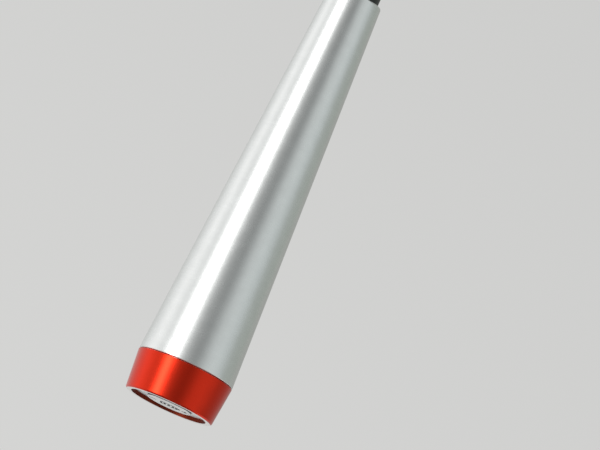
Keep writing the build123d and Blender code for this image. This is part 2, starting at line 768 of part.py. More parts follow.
with BuildPart() as led_leads:
    with BuildSketch(Plane.XY.offset(BOARD_TOP + 0.02)):
        with Locations((-LEAD_X, 0), (LEAD_X, 0)):
            Circle(LEAD_RADIUS)
    extrude(amount=SINK_TOP - BOARD_TOP - 0.02)
pieces["led_leads"] = led_leads

with BuildPart() as driver_board:
    with BuildSketch(Plane.XY.offset(BOARD_FOOT)):
        Rectangle(2 * BOARD_HALF_WIDTH, BOARD_THICKNESS)
    extrude(amount=BOARD_TOP - BOARD_FOOT)
pieces["driver_board"] = driver_board

# Inductor, controller and two capacitors on the board's front face.
CHIPS = (
    (0, 133.5, 4.0, 4.0, 1.9),
    (0.2, 139.5, 3.0, 3.0, 1.0),
    (-2.6, 144.0, 1.2, 2.0, 0.8),
    (2.4, 144.0, 1.2, 2.0, 0.8),
)

with BuildPart() as board_components:
    for x, z, width, height, depth in CHIPS:
        with BuildSketch(Plane.XZ.offset(BOARD_THICKNESS / 2 + 0.02)):
            with Locations((x, z)):
                Rectangle(width, height)
        extrude(amount=depth)
pieces["board_components"] = board_components

# ---------------------------------------------------------------------------- switch

SWITCH_FRONT = 4.2
SWITCH_FOOT = 139.6
SWITCH_HEIGHT = 7.8
LEVER_HALF = 0.5
LEVER_TIP = 6.0
KEEPER_FRONT = 4.55
KEEPER_THICKNESS = 0.5
KEEPER_HALF_HEIGHT = 1.8

with BuildPart() as switch_body:
    with BuildSketch(Plane.XY.offset(SWITCH_FOOT)):
        with Locations((0, (SWITCH_FRONT + BOARD_THICKNESS / 2 + 0.02) / 2)):
            Rectangle(3.6, SWITCH_FRONT - BOARD_THICKNESS / 2 - 0.02)
    extrude(amount=SWITCH_HEIGHT)
    # The window that the lever slides in.
    with BuildSketch(Plane.XY.offset(STEM_Z - LEVER_HALF - 0.2)):
        with Locations((0, SWITCH_FRONT)):
            Rectangle(2 * LEVER_HALF + 0.4, 2.4)
    extrude(amount=2 * LEVER_HALF + SWITCH_TRAVEL + 0.4, mode=Mode.SUBTRACT)
pieces["switch_body"] = switch_body

with BuildPart() as switch_lever:
    with BuildSketch(Plane.XY.offset(STEM_Z - LEVER_HALF)):
        with Locations((0, (SWITCH_FRONT - 1.0 + LEVER_TIP) / 2)):
            Rectangle(2 * LEVER_HALF, LEVER_TIP - SWITCH_FRONT + 1.0)
    extrude(amount=2 * LEVER_HALF)
pieces["switch_lever"] = switch_lever

with BuildPart() as switch_keeper:
    with BuildSketch(Plane.XY.offset(STEM_Z - KEEPER_HALF_HEIGHT)):
        with Locations((0, KEEPER_FRONT + KEEPER_THICKNESS / 2)):
            Rectangle(4.4, KEEPER_THICKNESS)
    extrude(amount=2 * KEEPER_HALF_HEIGHT)
    with BuildSketch(Plane.XY.offset(STEM_Z - LEVER_HALF - 0.08)):
        with Locations((0, KEEPER_FRONT)):
            Rectangle(2 * LEVER_HALF + 0.16, 2)
    extrude(amount=2 * LEVER_HALF + 0.16, mode=Mode.SUBTRACT)
pieces["switch_keeper"] = switch_keeper

PAD_INNER = NECK_RADIUS + 0.12
PAD_OUTER = PAD_INNER + BUTTON_THICKNESS
RIB_STEP = (BUTTON_TOP - BUTTON_FOOT - 2.4) / (BUTTON_RIBS - 1)

# A curved pad on the neck, with grip grooves, and a stem through the slot.
with BuildPart() as switch_button:
    with BuildSketch(Plane.XY.offset(BUTTON_FOOT)):
        Circle(PAD_OUTER)
        Circle(PAD_INNER, mode=Mode.SUBTRACT)
        with BuildLine():
            edge_x, edge_y = 20 * sin(radians(BUTTON_HALF_ANGLE)), 20 * cos(radians(BUTTON_HALF_ANGLE))
            Polyline((0, 0), (edge_x, edge_y), (-edge_x, edge_y), close=True)
        make_face(mode=Mode.INTERSECT)
    extrude(amount=BUTTON_TOP - BUTTON_FOOT)
    corners = switch_button.edges().filter_by(Axis.Z).filter_by(
        lambda e: e.center().X ** 2 + e.center().Y ** 2 > (PAD_OUTER - 0.1) ** 2
    )
    fillet(corners, 0.7)
    ends = switch_button.faces().filter_by(Axis.Z)
    chamfer(
        [
            e
            for e in ends.edges().filter_by(GeomType.CIRCLE)
            if abs(e.radius - PAD_OUTER) < 0.01
        ],
        0.4,
    )
    for rib in range(BUTTON_RIBS):
        rib_z = BUTTON_FOOT + 1.2 + rib * RIB_STEP
        with BuildSketch(HANDLE_SECTION):
            with BuildLine():
                Polyline(
                    (PAD_OUTER - 0.45, rib_z),
                    (PAD_OUTER + 0.3, rib_z - 0.55),
                    (PAD_OUTER + 0.3, rib_z + 0.55),
                    close=True,
                )
            make_face()
        revolve(axis=Axis.Z, mode=Mode.SUBTRACT)
    stem_foot = KEEPER_FRONT + KEEPER_THICKNESS + 0.02
    with BuildSketch(Plane.XY.offset(STEM_Z - STEM_HEIGHT / 2)):
        with Locations((0, (stem_foot + PAD_INNER + 0.5) / 2)):
            Rectangle(2 * STEM_HALF_WIDTH, PAD_INNER + 0.5 - stem_foot)
    extrude(amount=STEM_HEIGHT)
    with BuildSketch(Plane.XY.offset(STEM_Z - LEVER_HALF - 0.08)):
        with Locations((0, LEVER_TIP / 2 + 0.05)):
            Rectangle(2 * LEVER_HALF + 0.16, LEVER_TIP)
    extrude(amount=2 * LEVER_HALF + 0.16, mode=Mode.SUBTRACT)
pieces["switch_button"] = switch_button

# ------------------------------------------------------------------------- magnifier

TAB_BOTTOM = 16.8
TAB_HALF_WIDTH = 4.2
TAB_REAR = -20.4
TAB_FRONT = -17.8

with BuildPart() as lens_frame:
    with BuildSketch(HEAD.offset(FRAME_REAR)):
        Circle(FRAME_RADIUS)
    extrude(amount=FRAME_FRONT - FRAME_REAR)
    fillet(lens_frame.edges().filter_by(GeomType.CIRCLE).group_by(SIGHT_AXIS)[0], 0.9)
    with BuildSketch(HEAD.offset(EAR_REAR)):
        with Locations((0, PIVOT_HEIGHT)):
            Circle(EAR_RADIUS)
        with Locations((0, PIVOT_HEIGHT - EAR_RADIUS)):
            Rectangle(2 * EAR_RADIUS, 2 * EAR_RADIUS)
    extrude(amount=FRAME_FRONT - EAR_REAR)
    with BuildSketch(HEAD.offset(TAB_REAR)):
        with Locations((0, -(FRAME_RADIUS + TAB_BOTTOM) / 2)):
            RectangleRounded(2 * TAB_HALF_WIDTH, TAB_BOTTOM - FRAME_RADIUS + 3.0, 1.4)
    extrude(amount=TAB_FRONT - TAB_REAR)
    with BuildSketch(HEAD.offset(FRAME_REAR)):
        Circle(FRAME_WINDOW)
    extrude(amount=FRAME_FRONT - FRAME_REAR, mode=Mode.SUBTRACT)
    with BuildSketch(HEAD.offset(LENS_REAR_EDGE - 0.12)):
        Circle(LENS_RADIUS + 0.06)
    extrude(amount=FRAME_FRONT - LENS_REAR_EDGE + 0.12, mode=Mode.SUBTRACT)
    with BuildSketch(HEAD.offset(EAR_REAR)):
        with Locations((0, PIVOT_HEIGHT)):
            Circle(PIVOT_SCREW_RADIUS + 0.1)
    extrude(amount=FRAME_FRONT - EAR_REAR, mode=Mode.SUBTRACT)
    window_rim = lens_frame.edges().filter_by(GeomType.CIRCLE).group_by(SIGHT_AXIS)[0]
    chamfer(window_rim.sort_by(SortBy.RADIUS)[0], 0.4)
    # Grip grooves across the tab.
    for groove in range(3):
        with BuildSketch(HEAD.offset(TAB_REAR)):
            with Locations((0, -(FRAME_RADIUS + 0.75 + groove * 0.95))):
                Rectangle(2 * TAB_HALF_WIDTH - 1.6, 0.35)
        extrude(amount=0.35, mode=Mode.SUBTRACT)
pieces["lens_frame"] = lens_frame

LENS_SAG = LENS_CURVATURE - (LENS_CURVATURE**2 - LENS_RADIUS**2) ** 0.5
LENS_FRONT_EDGE = LENS_REAR_EDGE + LENS_EDGE

# A biconvex lens: its rear face bulges towards the eye.
with BuildPart() as magnifier_lens:
    with BuildSketch(HEAD_SECTION):
        with BuildLine():
            Line((LENS_RADIUS, LENS_REAR_EDGE), (LENS_RADIUS, LENS_FRONT_EDGE))
            RadiusArc((LENS_RADIUS, LENS_FRONT_EDGE), (0, LENS_FRONT_EDGE + LENS_SAG), -LENS_CURVATURE)
            Line((0, LENS_FRONT_EDGE + LENS_SAG), (0, LENS_REAR_EDGE - LENS_SAG))
            RadiusArc((0, LENS_REAR_EDGE - LENS_SAG), (LENS_RADIUS, LENS_REAR_EDGE), -LENS_CURVATURE)
        make_face()
    revolve(axis=SIGHT_AXIS)
pieces["magnifier_lens"] = magnifier_lens

with BuildPart() as lens_retainer:
    with BuildSketch(HEAD.offset(LENS_FRONT_EDGE + 0.2)):
        Circle(LENS_RADIUS)
        Circle(LENS_RADIUS - 1.0, mode=Mode.SUBTRACT)
    extrude(amount=0.9)
pieces["lens_retainer"] = lens_retainer

HEAD_FOOT = EAR_REAR - 0.45

with BuildPart() as pivot_screw:
    with BuildSketch(HEAD.offset(HEAD_FOOT)):
        with Locations((0, PIVOT_HEIGHT)):
            Circle(PIVOT_SCREW_RADIUS)
    extrude(amount=SCREW_END - HEAD_FOOT)
    with BuildSketch(HEAD.offset(HEAD_FOOT)):
        with Locations((0, PIVOT_HEIGHT)):
            Circle(PIVOT_HEAD_RADIUS)
    extrude(amount=-1.0)
    fillet(pivot_screw.edges().filter_by(GeomType.CIRCLE).group_by(SIGHT_AXIS)[0], 0.35)
    with BuildSketch(HEAD.offset(HEAD_FOOT - 1.0)):
        with Locations((0, PIVOT_HEIGHT)):
            Rectangle(0.45, 2 * PIVOT_HEAD_RADIUS - 1.2)
            Rectangle(2 * PIVOT_HEAD_RADIUS - 1.2, 0.45)
    extrude(amount=0.6, mode=Mode.SUBTRACT)
pieces["pivot_screw"] = pivot_screw

with BuildPart() as pivot_washer:
    with BuildSketch(HEAD.offset(EAR_REAR - 0.4)):
        with Locations((0, PIVOT_HEIGHT)):
            Circle(PIVOT_HEAD_RADIUS + 0.3)
            Circle(PIVOT_SCREW_RADIUS + 0.1, mode=Mode.SUBTRACT)
    extrude(amount=0.3)
pieces["pivot_washer"] = pivot_washer

# -------------------------------------------------------------------------- speculum

SPECULUM_SOCKET = COLLAR_RADIUS + 0.08

with BuildPart() as speculum:
    with BuildSketch(HEAD_SECTION):
        with BuildLine():
            Polyline(
                (6.4, 20.6),
                (SPECULUM_FLANGE_RADIUS, 20.2),
                (SPECULUM_FLANGE_RADIUS, SPECULUM_REAR),
                (SPECULUM_SOCKET, SPECULUM_REAR),
                (SPECULUM_SOCKET, COLLAR_FRONT + 0.4),
                (4.35, 27.0),
                (2.6, TIP_STATION),
                (SPECULUM_TIP_BORE, SPECULUM_TIP),
                (SPECULUM_TIP_RADIUS, SPECULUM_TIP),
            )
            ThreePointArc((SPECULUM_TIP_RADIUS, SPECULUM_TIP), (3.85, 37.0), (6.4, 20.6))
        make_face()
    revolve(axis=SIGHT_AXIS)
    tip_edges = speculum.edges().filter_by(GeomType.CIRCLE).group_by(SIGHT_AXIS)[-1]
    fillet(tip_edges.sort_by(SortBy.RADIUS)[-1], 0.25)
    with BuildSketch(HEAD.offset(SPECULUM_REAR)):
        with PolarLocations(SPECULUM_FLANGE_RADIUS, SPECULUM_RIBS):
            Circle(SPECULUM_RIB_RADIUS)
        Circle(SPECULUM_FLANGE_RADIUS - 0.3, mode=Mode.SUBTRACT)
    extrude(amount=1.9)
pieces["speculum"] = speculum

# ------------------------------------------------------------------------------ files

os.makedirs("parts", exist_ok=True)
for name, piece in pieces.items():
    piece.part.label = name
    export_step(piece.part, f"parts/{name}.step")
    print(name, round(piece.part.volume, 1), len(piece.part.solids()))
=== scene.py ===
import json
import math

import bmesh
import bpy
from mathutils import Matrix, Vector


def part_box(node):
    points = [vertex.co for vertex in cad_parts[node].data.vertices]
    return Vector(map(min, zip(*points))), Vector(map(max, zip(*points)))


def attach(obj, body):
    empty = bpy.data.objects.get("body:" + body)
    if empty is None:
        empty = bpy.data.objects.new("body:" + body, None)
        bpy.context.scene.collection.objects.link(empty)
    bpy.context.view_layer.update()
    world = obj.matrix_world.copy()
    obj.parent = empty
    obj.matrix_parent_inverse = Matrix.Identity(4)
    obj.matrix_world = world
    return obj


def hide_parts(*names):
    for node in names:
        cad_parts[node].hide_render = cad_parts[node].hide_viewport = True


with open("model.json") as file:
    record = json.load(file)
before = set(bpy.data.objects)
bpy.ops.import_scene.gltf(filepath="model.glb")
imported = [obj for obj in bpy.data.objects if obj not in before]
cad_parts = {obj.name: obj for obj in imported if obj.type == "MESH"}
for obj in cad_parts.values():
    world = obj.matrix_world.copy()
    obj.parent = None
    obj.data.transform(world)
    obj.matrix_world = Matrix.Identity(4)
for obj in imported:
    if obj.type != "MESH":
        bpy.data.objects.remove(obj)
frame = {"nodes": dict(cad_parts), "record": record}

# Looks for the pocket otoscope. Lengths are in metres in the frame of the CAD model, and
# MM turns millimetres into metres.
MM = 0.001

bpy.context.view_layer.update()
nodes = frame["nodes"]

# ------------------------------------------------------------------------- measuring


def radius_at(node, low, high, pick=max):
    """The largest (or smallest) distance from the handle's axis between two heights."""
    found = [
        math.hypot(v.co.x, v.co.y)
        for v in nodes[node].data.vertices
        if low <= v.co.z <= high
    ]
    return pick(found)


# ---------------------------------------------------------------------- shader nodes


class Tree:
    """Short calls for building one node tree. A value is a number, a tuple or a socket."""

    def __init__(self, tree):
        self.tree = tree
        tree.nodes.clear()

    def feed(self, socket, value):
        if isinstance(value, bpy.types.NodeSocket):
            self.tree.links.new(value, socket)
        elif value is not None:
            socket.default_value = value

    def add(self, kind, inputs=None, **settings):
        node = self.tree.nodes.new("ShaderNode" + kind)
        for name, value in settings.items():
            setattr(node, name, value)
        for name, value in (inputs or {}).items():
            self.feed(node.inputs[name], value)
        return node

    def math(self, operation, a, b=None, c=None):
        node = self.add("Math", operation=operation)
        for socket, value in zip(node.inputs, (a, b, c)):
            self.feed(socket, value)
        return node.outputs[0]

    def span(self, value, low, high, out_low=0.0, out_high=1.0, smooth=True):
        """Maps value from low..high to out_low..out_high, held at both ends."""
        node = self.add(
            "MapRange",
            {
                "Value": value,
                "From Min": low,
                "From Max": high,
                "To Min": out_low,
                "To Max": out_high,
            },
            interpolation_type="SMOOTHSTEP" if smooth else "LINEAR",
        )
        return node.outputs["Result"]

    def swing(self, value, amount, middle):
        """The middle, moved by up to half the amount as value goes from 0 to 1."""
        return self.math("MULTIPLY_ADD", self.math("SUBTRACT", value, 0.5), amount, middle)

    def blend(self, a, a_share, b, b_share):
        return self.math("ADD", self.math("MULTIPLY", a, a_share), self.math("MULTIPLY", b, b_share))

    def mix(self, share, a, b):
        """A colour from a (share 0) to b (share 1)."""
        node = self.add("Mix", data_type="RGBA")
        self.feed(node.inputs[0], share)
        self.feed(node.inputs[6], a)
        self.feed(node.inputs[7], b)
        return node.outputs[2]

    def millimetres(self):
        """The place on the object, in millimetres."""
        place = self.add("TexCoord").outputs["Object"]
        enlarged = self.add("VectorMath", operation="SCALE")
        self.feed(enlarged.inputs[0], place)
        self.feed(enlarged.inputs["Scale"], 1.0 / MM)
        return enlarged.outputs[0]

    def stretched(self, place, x, y, z):
        node = self.add("Mapping", {"Vector": place, "Scale": (x, y, z)})
        return node.outputs[0]

    def split(self, vector):
        return self.add("SeparateXYZ", {"Vector": vector}).outputs

    def joined(self, x, y, z):
        return self.add("CombineXYZ", {"X": x, "Y": y, "Z": z}).outputs[0]

    def noise(self, place, scale, detail=2.0, roughness=0.5):
        node = self.add(
            "TexNoise",
            {
                "Vector": place,
                "Scale": scale,
                "Detail": detail,
                "Roughness": roughness,
            },
        )
        return node.outputs["Fac"]

    def facing(self, direction, towards):
        """The cosine between a direction and a fixed one, if both have length 1."""
        node = self.add("VectorMath", operation="DOT_PRODUCT")
        self.feed(node.inputs[0], direction)
        self.feed(node.inputs[1], tuple(towards))
        return node.outputs["Value"]

    def choose(self, share, first, second):
        """The first shader, or the second where share is 1."""
        node = self.add("MixShader", {"Fac": share})
        self.tree.links.new(first.outputs[0], node.inputs[1])
        self.tree.links.new(second.outputs[0], node.inputs[2])
        return node

    def send(self, kind, shader):
        output = self.add(kind)
        self.tree.links.new(shader.outputs[0], output.inputs["Surface"])

    def speckle(self, place, scale):
        node = self.add("TexVoronoi", {"Vector": place, "Scale": scale})
        return node.outputs["Distance"]

    def round_place(self, place):
        """The place as angle, radius and height round the handle's axis."""
        x, y, z = self.split(place)
        radius = self.math("SQRT", self.math("MULTIPLY_ADD", x, x, self.math("MULTIPLY", y, y)))
        angle = self.math("ARCTAN2", y, x)
        return angle, radius, z


def material(name, colour, metallic=0.0, roughness=0.5, **uniform):
    """A Principled material and its tree. Uniform values go on the shader's own sockets."""
    made = bpy.data.materials.new(name)
    made.use_nodes = True
    tree = Tree(made.node_tree)
    shader = tree.add("BsdfPrincipled")
    shader.inputs["Base Color"].default_value = (*colour, 1.0)
    shader.inputs["Metallic"].default_value = metallic
    shader.inputs["Roughness"].default_value = roughness
    for socket, value in uniform.items():
        shader.inputs[socket.replace("_", " ")].default_value = value
    tree.send("OutputMaterial", shader)
    return made, tree, shader


def vary_colour(tree, shader, share, colour, other):
    tree.feed(shader.inputs["Base Color"], tree.mix(share, (*colour, 1.0), (*other, 1.0)))


def relief(tree, shader, height, depth_mm, edge_mm=0.0):
    """Bumps the surface by a height of 0 to 1, and softens sharp edges by a small radius."""
    bump = tree.add("Bump", {"Height": height, "Strength": 1.0, "Distance": depth_mm * MM})
    if edge_mm:
        soft = tree.add("Bevel", {"Radius": edge_mm * MM}, samples=4)
        tree.feed(bump.inputs["Normal"], soft.outputs[0])
    tree.feed(shader.inputs["Normal"], bump.outputs[0])


def scaled(colour, factor):
    return tuple(min(1.0, c * factor) for c in colour)


# ------------------------------------------------------------------------- materials


def turned_metal(name, colour, roughness, ring_mm, ring_depth, mottle, radial=False, **uniform):
    """Anodised or bare metal with fine tool rings, bead-blast grain and faint mottling.

    The rings run round the handle's axis. They are spaced along it, or along the radius for
    a face."""
    made, tree, shader = material(name, colour, 1.0, roughness, **uniform)
    place = tree.millimetres()
    angle, radius, height = tree.round_place(place)
    along = radius if radial else height
    ring_place = tree.joined(
        tree.math("MULTIPLY", angle, 0.35), 0.0, tree.math("MULTIPLY", along, 1.0 / ring_mm)
    )
    rings = tree.noise(ring_place, 1.0, 3.0, 0.6)
    grain = tree.noise(place, 5.5, 2.0, 0.6)
    cloud = tree.noise(place, 0.33, 3.0, 0.55)
    # Streaks run along the handle: narrow round it, and long in height.
    streak_place = tree.joined(
        tree.math("MULTIPLY", angle, 9.0),
        tree.math("MULTIPLY", radius, 0.05),
        tree.math("MULTIPLY", height, 0.03),
    )
    streak = tree.noise(streak_place, 1.0, 2.0, 0.5)
    rough = tree.swing(cloud, mottle, roughness)
    rough = tree.swing(streak, mottle * 0.6, rough)
    rough = tree.swing(grain, mottle * 1.3, rough)
    tree.feed(shader.inputs["Roughness"], rough)
    tone = tree.blend(cloud, 0.5, rings, 0.5)
    vary_colour(tree, shader, tree.span(tone, 0.3, 0.7), scaled(colour, 0.965), scaled(colour, 1.03))
    relief(tree, shader, tree.blend(rings, 0.6, grain, 0.4), ring_depth)
    return made


SILVER = (0.83, 0.84, 0.83)
RED = (0.77, 0.030, 0.007)

silver = turned_metal("anodised_silver", SILVER, 0.27, 0.35, 0.006, 0.016)
red = turned_metal(
    "anodised_red", RED, 0.25, 0.35, 0.004, 0.03, Coat_Roughness=0.22, Coat_IOR=1.45, Coat_Weight=0.24
)
# The recess wall: the same red anodise made darker, as painted shade.
red_painted_shade = turned_metal("anodised_red_painted_shade", (0.20, 0.030, 0.014), 0.40, 0.3, 0.008, 0.06)
bright_cut = turned_metal("bright_cut_edge", (0.88, 0.86, 0.84), 0.15, 0.12, 0.002, 0.03, radial=True)
cut_face = turned_metal("cut_aluminium", (0.84, 0.85, 0.84), 0.24, 0.16, 0.006, 0.05, radial=True)


# Millimetres above each part's lowest point: the plug is etched up to the first, and the
# badge's engraving is inked from the second. The other three compare the Z of a face's normal;
# the last finds the badge's side wall. The dark colour below inks the engraving and paints shade on that
# side wall.
ETCHED_WITHIN = 0.8
INK_BEYOND = 0.09
FACES_DOWN = -0.9
LEVEL = -0.95
UPRIGHT = 0.4
INK_AND_PAINTED_SHADE = (0.045, 0.047, 0.052, 1.0)


def plug_metal():
    """The end cap's plug: turned and bare, with a matt etched disc at the outer end."""
    colour = (0.88, 0.91, 0.91)
    roughness = 0.26
    made, tree, shader = material("cap_plug", colour, 1.0, roughness)
    place = tree.millimetres()
    _, radius, height = tree.round_place(place)
    normal = tree.split(tree.add("NewGeometry").outputs["Normal"])
    low = tree.math("LESS_THAN", height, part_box("end_cap_plug")[0].z / MM + ETCHED_WITHIN)
    etched = tree.math("MULTIPLY", low, tree.math("LESS_THAN", normal[2], FACES_DOWN))
    ring_place = tree.joined(
        0.0, tree.math("MULTIPLY", radius, 4.0), tree.math("MULTIPLY", height, 4.0)
    )
    rings = tree.noise(ring_place, 1.0, 3.0, 0.6)
    grain = tree.noise(place, 7.0, 2.0, 0.6)
    vary_colour(tree, shader, tree.span(rings, 0.3, 0.7), scaled(colour, 0.95), scaled(colour, 1.03))
    tree.feed(shader.inputs["Metallic"], tree.math("MULTIPLY_ADD", etched, -0.6, 1.0))
    rough = tree.math("MULTIPLY_ADD", etched, 0.2, roughness)
    tree.feed(shader.inputs["Roughness"], tree.swing(grain, 0.1, rough))
    relief(tree, shader, tree.blend(rings, 0.6, grain, 0.4), 0.006)
    return made


def badge_metal():
    """Satin badge whose engraved mark is dark with lacquer, and whose side wall is painted dark as
    painted shade.
    """
    colour = (0.84, 0.85, 0.84)
    made, tree, shader = material("badge_metal", colour, 1.0, 0.28)
    place = tree.millimetres()
    brushed = tree.noise(tree.stretched(place, 0.6, 9.0, 1.0), 1.0, 3.0, 0.6)
    normal = tree.split(tree.add("NewGeometry").outputs["Normal"])
    height = tree.split(place)[2]
    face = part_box("end_cap_badge")[0].z / MM
    deep = tree.math("GREATER_THAN", height, face + INK_BEYOND)
    level = tree.math("LESS_THAN", normal[2], LEVEL)
    # The upright side wall gets the dark colour too, as painted shade along the badge's edge.
    side = tree.math("LESS_THAN", tree.math("ABSOLUTE", normal[2]), UPRIGHT)
    ink_and_painted_shade = tree.math("MAXIMUM", tree.math("MULTIPLY", deep, level), side)
    dull, bright = scaled(colour, 0.94), scaled(colour, 1.04)
    metal = tree.mix(tree.span(brushed, 0.3, 0.7), (*dull, 1.0), (*bright, 1.0))
    tree.feed(shader.inputs["Base Color"], tree.mix(ink_and_painted_shade, metal, INK_AND_PAINTED_SHADE))
    tree.feed(shader.inputs["Metallic"], tree.math("SUBTRACT", 1.0, ink_and_painted_shade))
    tree.feed(shader.inputs["Roughness"], tree.math("MULTIPLY_ADD", brushed, 0.12, 0.24))
    relief(tree, shader, brushed, 0.003)
    return made


# How much the roughness of small metal parts varies.
TARNISH = 0.06


def turned_part(name, colour, roughness):
    """A small plated, turned or drawn metal part, with a cloud of tarnish."""
    made, tree, shader = material(name, colour, 1.0, roughness)
    place = tree.millimetres()
    fine = tree.noise(place, 6.0, 3.0, 0.6)
    cloud = tree.noise(place, 0.8, 3.0, 0.6)
    vary_colour(tree, shader, tree.span(cloud, 0.35, 0.65), scaled(colour, 0.88), scaled(colour, 1.04))
    rough = tree.swing(cloud, TARNISH * 2.0, roughness)
    tree.feed(shader.inputs["Roughness"], tree.swing(fine, TARNISH, rough))
    relief(tree, shader, fine, 0.004, 0.08)
    return made


# The edge radius that moulded parts show, in millimetres.
MOULDED_EDGE = 0.12


def moulded(name, colour, roughness, grain_mm, grain_depth, dust=0.02):
    """Moulded plastic or rubber: spark-eroded grain, a faint cloud of dust and soft edges."""
    made, tree, shader = material(name, colour, 0.0, roughness)
    place = tree.millimetres()
    cells = tree.speckle(place, 1.0 / grain_mm)
    grain = tree.noise(place, 1.6 / grain_mm, 2.0, 0.6)
    cloud = tree.noise(place, 0.22, 4.0, 0.6)
    pale = tuple(c + dust for c in colour)
    vary_colour(tree, shader, tree.span(cloud, 0.35, 0.75, 0.0, 0.8), colour, pale)
    rough = tree.swing(cloud, 0.18, roughness)
    tree.feed(shader.inputs["Roughness"], tree.swing(grain, 0.12, rough))
    relief(tree, shader, tree.blend(cells, 0.5, grain, 0.5), grain_depth, MOULDED_EDGE)
    return made


def lens_glass():
    """Optical glass with a thin blue coating and the faintest wipe marks."""
    roughness = 0.01
    made, tree, shader = material(
        "lens_glass",
        (0.97, 0.99, 0.985),
        0.0,
        roughness,
        IOR=1.55,
        Transmission_Weight=1.0,
        Specular_IOR_Level=0.22,
        Specular_Tint=(0.78, 0.86, 1.0, 1.0),
    )
    place = tree.millimetres()
    wipes = tree.noise(tree.stretched(place, 0.5, 0.5, 2.0), 0.7, 4.0, 0.65)
    tree.feed(shader.inputs["Roughness"], tree.span(wipes, 0.5, 0.8, 0.0, roughness))
    relief(tree, shader, wipes, 0.0002)
    return made


def solder_mask():
    """Green board with paler tracks in faint relief."""
    green = (0.012, 0.085, 0.035)
    made, tree, shader = material("board", green, 0.0, 0.3, Coat_Weight=0.3)
    place = tree.millimetres()
    bricks = tree.add("TexBrick", {"Vector": place, "Scale": 1.3, "Mortar Size": 0.05, "Bias": 0.0})
    tracks = bricks.outputs["Fac"]
    cloud = tree.noise(place, 2.0, 3.0, 0.6)
    vary_colour(tree, shader, tracks, green, (0.04, 0.16, 0.06))
    tree.feed(shader.inputs["Roughness"], tree.math("MULTIPLY_ADD", cloud, 0.15, 0.22))
    relief(tree, shader, tree.math("ADD", tracks, tree.math("MULTIPLY", cloud, 0.1)), 0.02)
    return made


# The copper-coloured band on each cell, in millimetres: its length, and how far it runs past
# the jacket's end so that the end is covered.
BAND_LENGTH = 13.0
BAND_PAST_END = 0.5


def shrink_label():
    """Plain cell jacket: black with a copper-coloured band at the positive end."""
    made, tree, shader = material("cell_label", (0.02, 0.02, 0.022), 0.0, 0.3, Coat_Weight=0.4)
    place = tree.millimetres()
    height = tree.split(place)[2]
    bands = []
    for name in ("lower", "upper"):
        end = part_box(f"{name}_cell_jacket")[1].z / MM
        past_start = tree.math("GREATER_THAN", height, end - BAND_LENGTH)
        before_end = tree.math("LESS_THAN", height, end + BAND_PAST_END)
        bands.append(tree.math("MULTIPLY", past_start, before_end))
    band = tree.math("MAXIMUM", *bands)
    foil = tree.noise(place, 1.5, 3.0, 0.6)
    vary_colour(tree, shader, band, (0.018, 0.018, 0.02), (0.55, 0.24, 0.10))
    tree.feed(shader.inputs["Metallic"], tree.math("MULTIPLY", band, 0.85))
    tree.feed(shader.inputs["Roughness"], tree.math("MULTIPLY_ADD", foil, 0.15, 0.2))
    relief(tree, shader, foil, 0.01)
    return made


def fibre_ends():
    """Polished ends of packed optical fibres."""
    made, tree, shader = material("light_guide", (0.75, 0.78, 0.72), 0.0, 0.15)
    place = tree.millimetres()
    cells = tree.speckle(place, 9.0)
    vary_colour(tree, shader, tree.span(cells, 0.1, 0.5), (0.86, 0.89, 0.82), (0.25, 0.26, 0.24))
    tree.feed(shader.inputs["Roughness"], tree.math("MULTIPLY_ADD", cells, 0.4, 0.08))
    relief(tree, shader, cells, 0.01)
    return made


SLOT_MATERIALS = {
    "anodised_silver": silver,
    "anodised_red": red,
    "cut_aluminium": cut_face,
    "badge_metal": badge_metal(),
    "brass": turned_part("brass", (0.72, 0.52, 0.22), 0.24),
    "nickel": turned_part("nickel", (0.78, 0.76, 0.72), 0.16),
    "spring_steel": turned_part("spring_steel", (0.58, 0.58, 0.59), 0.26),
    "seal_rubber": moulded("seal_rubber", (0.012, 0.012, 0.012), 0.7, 0.3, 0.015),
    "black_plastic": moulded("black_plastic", (0.0115, 0.012, 0.0115), 0.40, 0.22, 0.003, dust=0.003),
    "grip_plastic": moulded("grip_plastic", (0.045, 0.046, 0.048), 0.5, 0.25, 0.012, dust=0.01),
    "speculum_plastic": moulded("speculum_plastic", (0.010, 0.010, 0.010), 0.26, 0.5, 0.004, dust=0.003),
    "liner_plastic": moulded("liner_plastic", (0.32, 0.33, 0.34), 0.45, 0.4, 0.01),
    "cell_can": turned_part("cell_can", (0.66, 0.66, 0.65), 0.2),
    "cell_label": shrink_label(),
    "lens_glass": lens_glass(),
    "light_guide": fibre_ends(),
    "board": solder_mask(),
    "chip": moulded("chip", (0.02, 0.02, 0.02), 0.5, 0.3, 0.006),
    "phosphor": moulded("phosphor", (0.80, 0.62, 0.10), 0.5, 0.2, 0.01),
    "insulator": moulded("insulator", (0.62, 0.57, 0.44), 0.45, 0.4, 0.01),
}

slot_of = {part["node"]: part["material_slot"] for part in frame["record"]["subparts"]}
node_materials = {name: SLOT_MATERIALS[slot_of[name]] for name in nodes}
node_materials["end_cap_plug"] = plug_metal()
for name, thing in nodes.items():
    for place in thing.material_slots:
        place.material = node_materials[name]

# ------------------------------------------------------------------ turned main parts

SEGMENTS = 256
CORNER_STEPS = 5
LONGEST_STEP = 1.5 * MM
SAME_POINT = 0.0001 * MM


def softened(corners):
    """A closed outline of Vectors from (radius, height, rounding) corners, rounded by arcs."""
    made = []
    count = len(corners)
    # A rounding never takes up more than this share of a side, so two never meet.
    most = 0.48
    for i, (across, up, rounding) in enumerate(corners):
        here = Vector((across, up))
        to_last = Vector(corners[i - 1][:2]) - here
        to_next = Vector(corners[(i + 1) % count][:2]) - here
        turn = math.pi - to_last.angle(to_next)
        reach = min(rounding * math.tan(turn / 2), most * to_last.length, most * to_next.length)
        if reach <= 0.0:
            made.append(here)
            continue
        start = here + to_last.normalized() * reach
        end = here + to_next.normalized() * reach
        weight = math.cos(turn / 2)
        for step in range(CORNER_STEPS + 1):
            t = step / CORNER_STEPS
            first, middle, last = (1 - t) ** 2, 2 * weight * t * (1 - t), t * t
            made.append((start * first + here * middle + end * last) / (first + middle + last))
    return made


